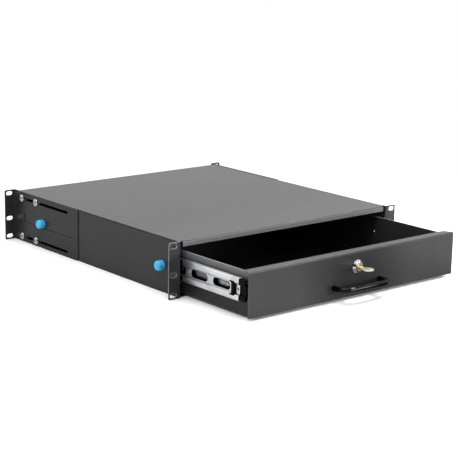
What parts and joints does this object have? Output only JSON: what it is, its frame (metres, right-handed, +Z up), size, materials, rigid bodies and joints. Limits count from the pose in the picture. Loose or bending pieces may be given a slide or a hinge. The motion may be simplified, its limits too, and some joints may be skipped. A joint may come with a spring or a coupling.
{
  "type": "sliding rack drawer",
  "caption": "Two-unit 19-inch rack drawer with a key lock and bow handle, on telescopic ball slides, in a sheet-metal body with adjustable rear brackets.",
  "frame": {"origin": "centre of the front ears' four outer slots, on the ears' front face", "axes": "+X to the right seen from the front, +Y into the rack (the drawer opens along -Y), +Z up"},
  "size_m": [0.4826, 0.6622, 0.0882],
  "materials": {
    "cabinet_paint": "fine-textured black powder coat",
    "bracket_paint": "fine-textured black powder coat",
    "drawer_paint": "fine-textured black powder coat",
    "zinc_fastener": "bright zinc plate",
    "zinc_slide_steel": "bright zinc plate",
    "cage_steel": "satin zinc plate",
    "ball_steel": "polished",
    "black_plastic": "moulded, fine grain",
    "blue_plastic": "moulded, smooth",
    "handle_gloss": "gloss black enamel",
    "lock_chrome": "polished plate",
    "key_nickel": "nickel plate"
  },
  "bodies": {
    "cabinet": {"cabinet_cover": "cabinet_paint", "cabinet_rear_panel": "cabinet_paint", "lock_strike": "cabinet_paint", "cabinet_side_left": "cabinet_paint", "cabinet_side_right": "cabinet_paint", "bracket_screws_left": "zinc_fastener", "bracket_screws_right": "zinc_fastener", "bracket_weld_nuts_left": "zinc_fastener", "bracket_weld_nuts_right": "zinc_fastener", "slide_cabinet_rail_left": "zinc_slide_steel", "slide_cabinet_rail_right": "zinc_slide_steel", "slide_rear_buffer_left": "black_plastic", "slide_rear_buffer_right": "black_plastic", "slide_studs_left": "zinc_fastener", "slide_studs_right": "zinc_fastener", "slide_stud_nuts_left": "zinc_fastener", "slide_stud_nuts_right": "zinc_fastener", "stud_caps_left": "blue_plastic", "stud_caps_right": "blue_plastic"},
    "rear_bracket_left": {"rear_bracket_left": "bracket_paint"},
    "rear_bracket_right": {"rear_bracket_right": "bracket_paint"},
    "outer_cage_left": {"slide_outer_cage_left": "cage_steel", "slide_outer_balls_left": "ball_steel"},
    "outer_cage_right": {"slide_outer_cage_right": "cage_steel", "slide_outer_balls_right": "ball_steel"},
    "middle_rail_left": {"slide_middle_rail_left": "zinc_slide_steel", "slide_middle_clip_left": "black_plastic"},
    "middle_rail_right": {"slide_middle_rail_right": "zinc_slide_steel", "slide_middle_clip_right": "black_plastic"},
    "inner_cage_left": {"slide_inner_cage_left": "cage_steel", "slide_inner_balls_left": "ball_steel"},
    "inner_cage_right": {"slide_inner_cage_right": "cage_steel", "slide_inner_balls_right": "ball_steel"},
    "drawer": {"drawer_tray": "drawer_paint", "drawer_rear_wall": "drawer_paint", "drawer_front_panel": "drawer_paint", "handle": "handle_gloss", "handle_screws": "zinc_fastener", "lock_housing": "lock_chrome", "lock_nut": "zinc_fastener", "slide_drawer_rail_left": "zinc_slide_steel", "slide_drawer_rail_right": "zinc_slide_steel", "slide_front_bumper_left": "black_plastic", "slide_front_bumper_right": "black_plastic", "drawer_rail_rivets_left": "zinc_fastener", "drawer_rail_rivets_right": "zinc_fastener"},
    "lock_rotor": {"lock_plug": "lock_chrome", "lock_cam": "lock_chrome", "lock_cam_screw": "zinc_fastener"},
    "key": {"key": "key_nickel"}
  },
  "joints": [
    {"name": "middle_rail_left_slide", "type": "slide", "parent": "cabinet", "child": "middle_rail_left", "axis": [0, -1, 0], "range_m": [-0.1546, 0.0454]},
    {"name": "middle_rail_right_slide", "type": "slide", "parent": "cabinet", "child": "middle_rail_right", "axis": [0, -1, 0], "range_m": [-0.1546, 0.0454]},
    {"name": "drawer_slide", "type": "slide", "parent": "middle_rail_left", "child": "drawer", "axis": [0, -1, 0], "range_m": [0, 0.2]},
    {"name": "outer_cage_left_roll", "type": "slide", "parent": "cabinet", "child": "outer_cage_left", "axis": [0, -1, 0], "range_m": [-0.0773, 0.0227]},
    {"name": "outer_cage_right_roll", "type": "slide", "parent": "cabinet", "child": "outer_cage_right", "axis": [0, -1, 0], "range_m": [-0.0773, 0.0227]},
    {"name": "inner_cage_left_roll", "type": "slide", "parent": "middle_rail_left", "child": "inner_cage_left", "axis": [0, -1, 0], "range_m": [0, 0.1]},
    {"name": "inner_cage_right_roll", "type": "slide", "parent": "middle_rail_right", "child": "inner_cage_right", "axis": [0, -1, 0], "range_m": [0, 0.1]},
    {"name": "rear_bracket_left_depth", "type": "slide", "parent": "cabinet", "child": "rear_bracket_left", "axis": [0, 1, 0], "range_m": [0, 0.09]},
    {"name": "rear_bracket_right_depth", "type": "slide", "parent": "cabinet", "child": "rear_bracket_right", "axis": [0, 1, 0], "range_m": [0, 0.09]},
    {"name": "lock_turn", "type": "hinge", "parent": "drawer", "child": "lock_rotor", "pos_m": [0, -0.1546, 0.00495], "axis": [0, -1, 0], "range_deg": [0, 90]},
    {"name": "key_draw", "type": "slide", "parent": "lock_rotor", "child": "key", "axis": [0, -1, 0], "range_m": [0, 0.025]}
  ],
  "couplings": [
    {"joint": "middle_rail_right_slide", "follows": "middle_rail_left_slide", "ratio": 1},
    {"joint": "outer_cage_left_roll", "follows": "middle_rail_left_slide", "ratio": 0.5},
    {"joint": "outer_cage_right_roll", "follows": "middle_rail_left_slide", "ratio": 0.5},
    {"joint": "inner_cage_left_roll", "follows": "drawer_slide", "ratio": 0.5},
    {"joint": "inner_cage_right_roll", "follows": "drawer_slide", "ratio": 0.5}
  ]
}
